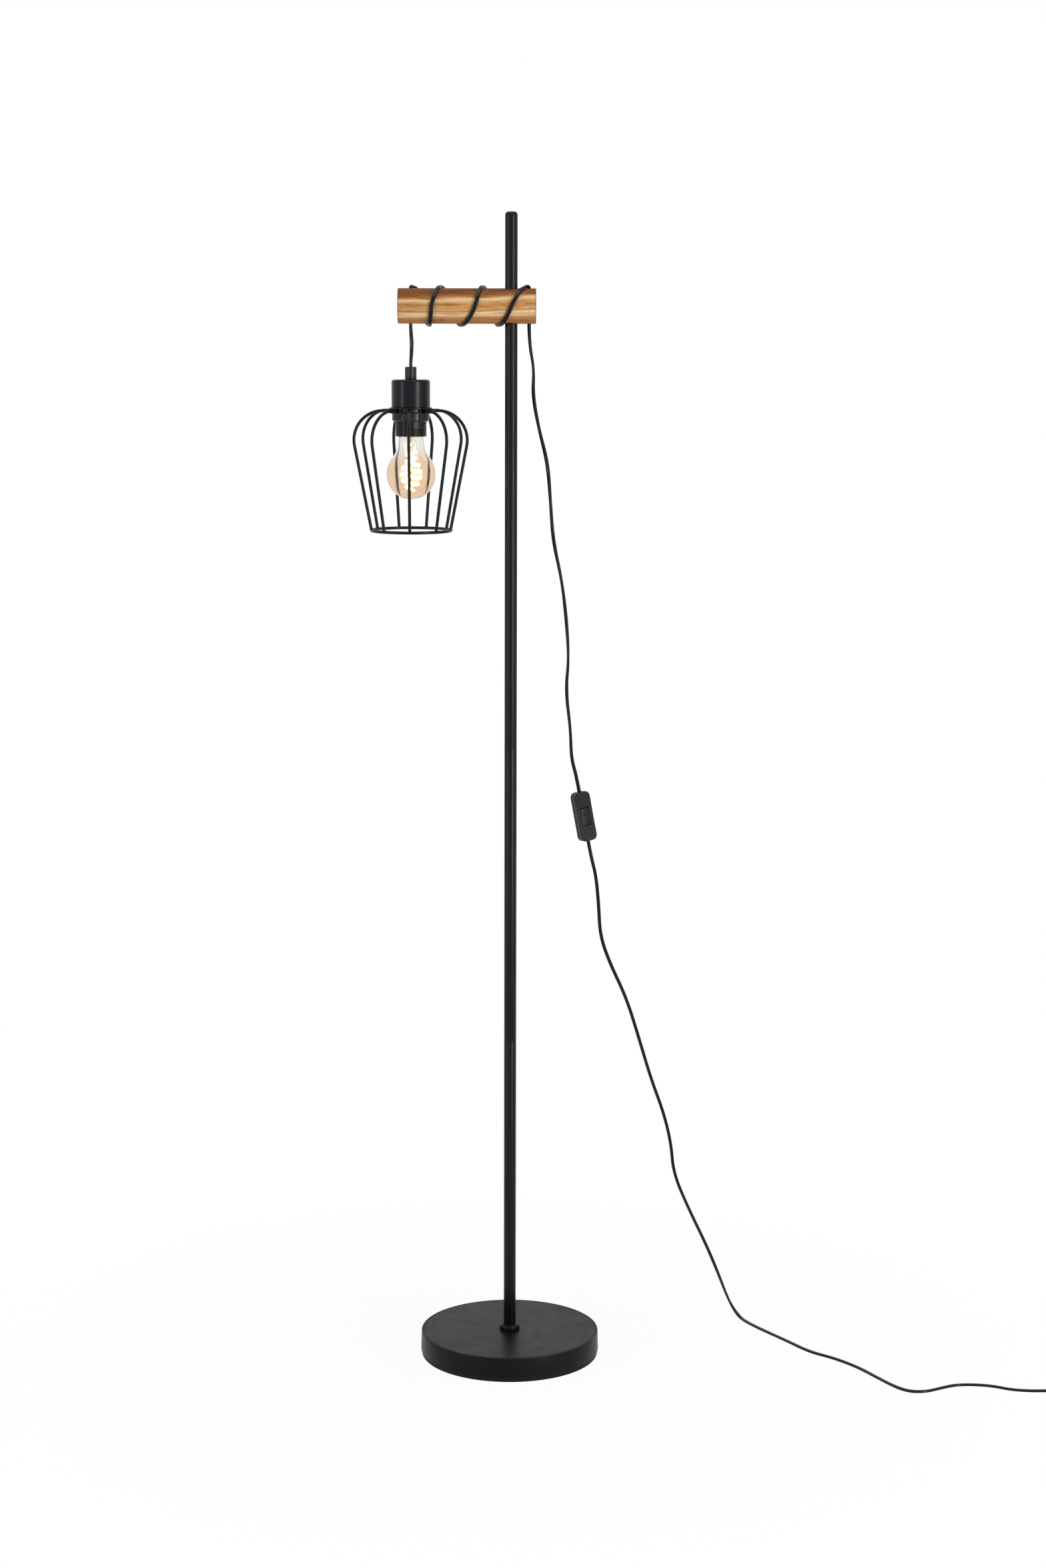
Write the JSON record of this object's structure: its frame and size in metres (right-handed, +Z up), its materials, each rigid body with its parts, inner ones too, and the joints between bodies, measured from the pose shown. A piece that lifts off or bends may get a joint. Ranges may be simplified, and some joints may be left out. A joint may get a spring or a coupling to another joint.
{
  "type": "floor lamp",
  "caption": "Floor lamp: round base, slim pole, round wooden beam wound with flex and a pendant bulb in a wire cage, with in-line switch and plug.",
  "frame": {"origin": "centre of the base's underside, on the pole's axis", "axes": "+Z up the pole; the beam's long end and the cage point to -X; the lamp is seen from -Y"},
  "size_m": [1.0051, 0.3056, 1.496],
  "materials": {
    "black_coat": "satin",
    "iron": "rough",
    "steel": "satin",
    "brass": "satin",
    "cap_metal": "satin",
    "solder": "satin",
    "wood": "satin",
    "flex": "gloss",
    "holder_plastic": "satin",
    "tray_plastic": "matt",
    "nylon": "matt",
    "ceramic": "gloss",
    "amber_glass": "gloss",
    "clear_glass": "gloss",
    "black_glass": "gloss",
    "filament": "glowing",
    "switch_shell": "satin",
    "rocker_plastic": "satin",
    "tie_plastic": "matt",
    "plug_plastic": "satin",
    "pin_metal": "gloss"
  },
  "bodies": {
    "stand": {"base_cover": "black_coat", "base_weight": "iron", "base_tray": "tray_plastic", "base_washer": "steel", "base_nut": "steel", "base_stud": "steel", "pole_collar": "black_coat", "pole_tube_lower": "black_coat", "pole_tube_second": "black_coat", "pole_tube_third": "black_coat", "pole_tube_upper": "black_coat", "joint_bushes": "steel", "joint_studs": "steel", "pole_cap": "black_coat", "lead_upper": "flex", "switch_base": "switch_shell", "switch_cover": "switch_shell", "switch_screws": "steel", "switch_contacts": "brass", "lead_lower": "flex", "lead_coil": "flex", "coil_tie": "tie_plastic", "plug_body": "plug_plastic", "plug_pins": "pin_metal"},
    "rocker": {"switch_rocker": "rocker_plastic"},
    "arm": {"arm_beam": "wood", "screw_insert": "brass", "arm_set_screw": "steel", "flex_wraps": "flex"},
    "drop": {"flex_drop": "flex"},
    "pendant": {"cord_grip": "holder_plastic", "grip_screw": "nylon", "flex_tail": "flex", "socket_cup": "black_coat", "lampholder_cap": "holder_plastic", "lampholder_body": "holder_plastic", "lampholder_insert": "ceramic", "contact_shell": "brass", "centre_contact": "brass", "terminal_screws": "brass", "cage_plate_upper": "black_coat", "cage_plate_lower": "black_coat", "cage_wire_1": "black_coat", "cage_wire_2": "black_coat", "cage_wire_3": "black_coat", "cage_wire_4": "black_coat", "cage_wire_5": "black_coat", "cage_wire_6": "black_coat", "cage_wire_7": "black_coat", "cage_wire_8": "black_coat", "cage_wire_9": "black_coat", "cage_bottom_ring": "black_coat", "shade_ring": "holder_plastic"},
    "bulb": {"bulb_glass": "amber_glass", "bulb_cap": "cap_metal", "bulb_insulator": "black_glass", "bulb_contact": "solder", "bulb_stem": "clear_glass", "bulb_filament": "filament", "bulb_lead_wires": "steel"}
  },
  "joints": [
    {"name": "arm_swivel", "type": "hinge", "parent": "stand", "child": "arm", "pos_m": [0, 0, 1.3784], "axis": [0, 0, 1], "range_deg": [-90, 90], "deforming": ["lead_upper"]},
    {"name": "pendant_swing_side", "type": "hinge", "parent": "arm", "child": "drop", "pos_m": [-0.1274, 0, 1.3562], "axis": [0, 1, 0], "range_deg": [-14, 45], "deforming": ["flex_drop"]},
    {"name": "pendant_swing_front", "type": "hinge", "parent": "drop", "child": "pendant", "pos_m": [-0.1274, 0, 1.3022], "axis": [1, 0, 0], "range_deg": [-40, 40], "deforming": ["flex_drop"]},
    {"name": "bulb_draw", "type": "slide", "parent": "pendant", "child": "bulb", "axis": [0, 0, -1], "range_m": [0, 0.12]},
    {"name": "switch_rocker", "type": "hinge", "parent": "stand", "child": "rocker", "pos_m": [0.09753, 0.05883, 0.71523], "axis": [0.8515, 0.5, 0.1578], "range_deg": [-14, 0]}
  ]
}
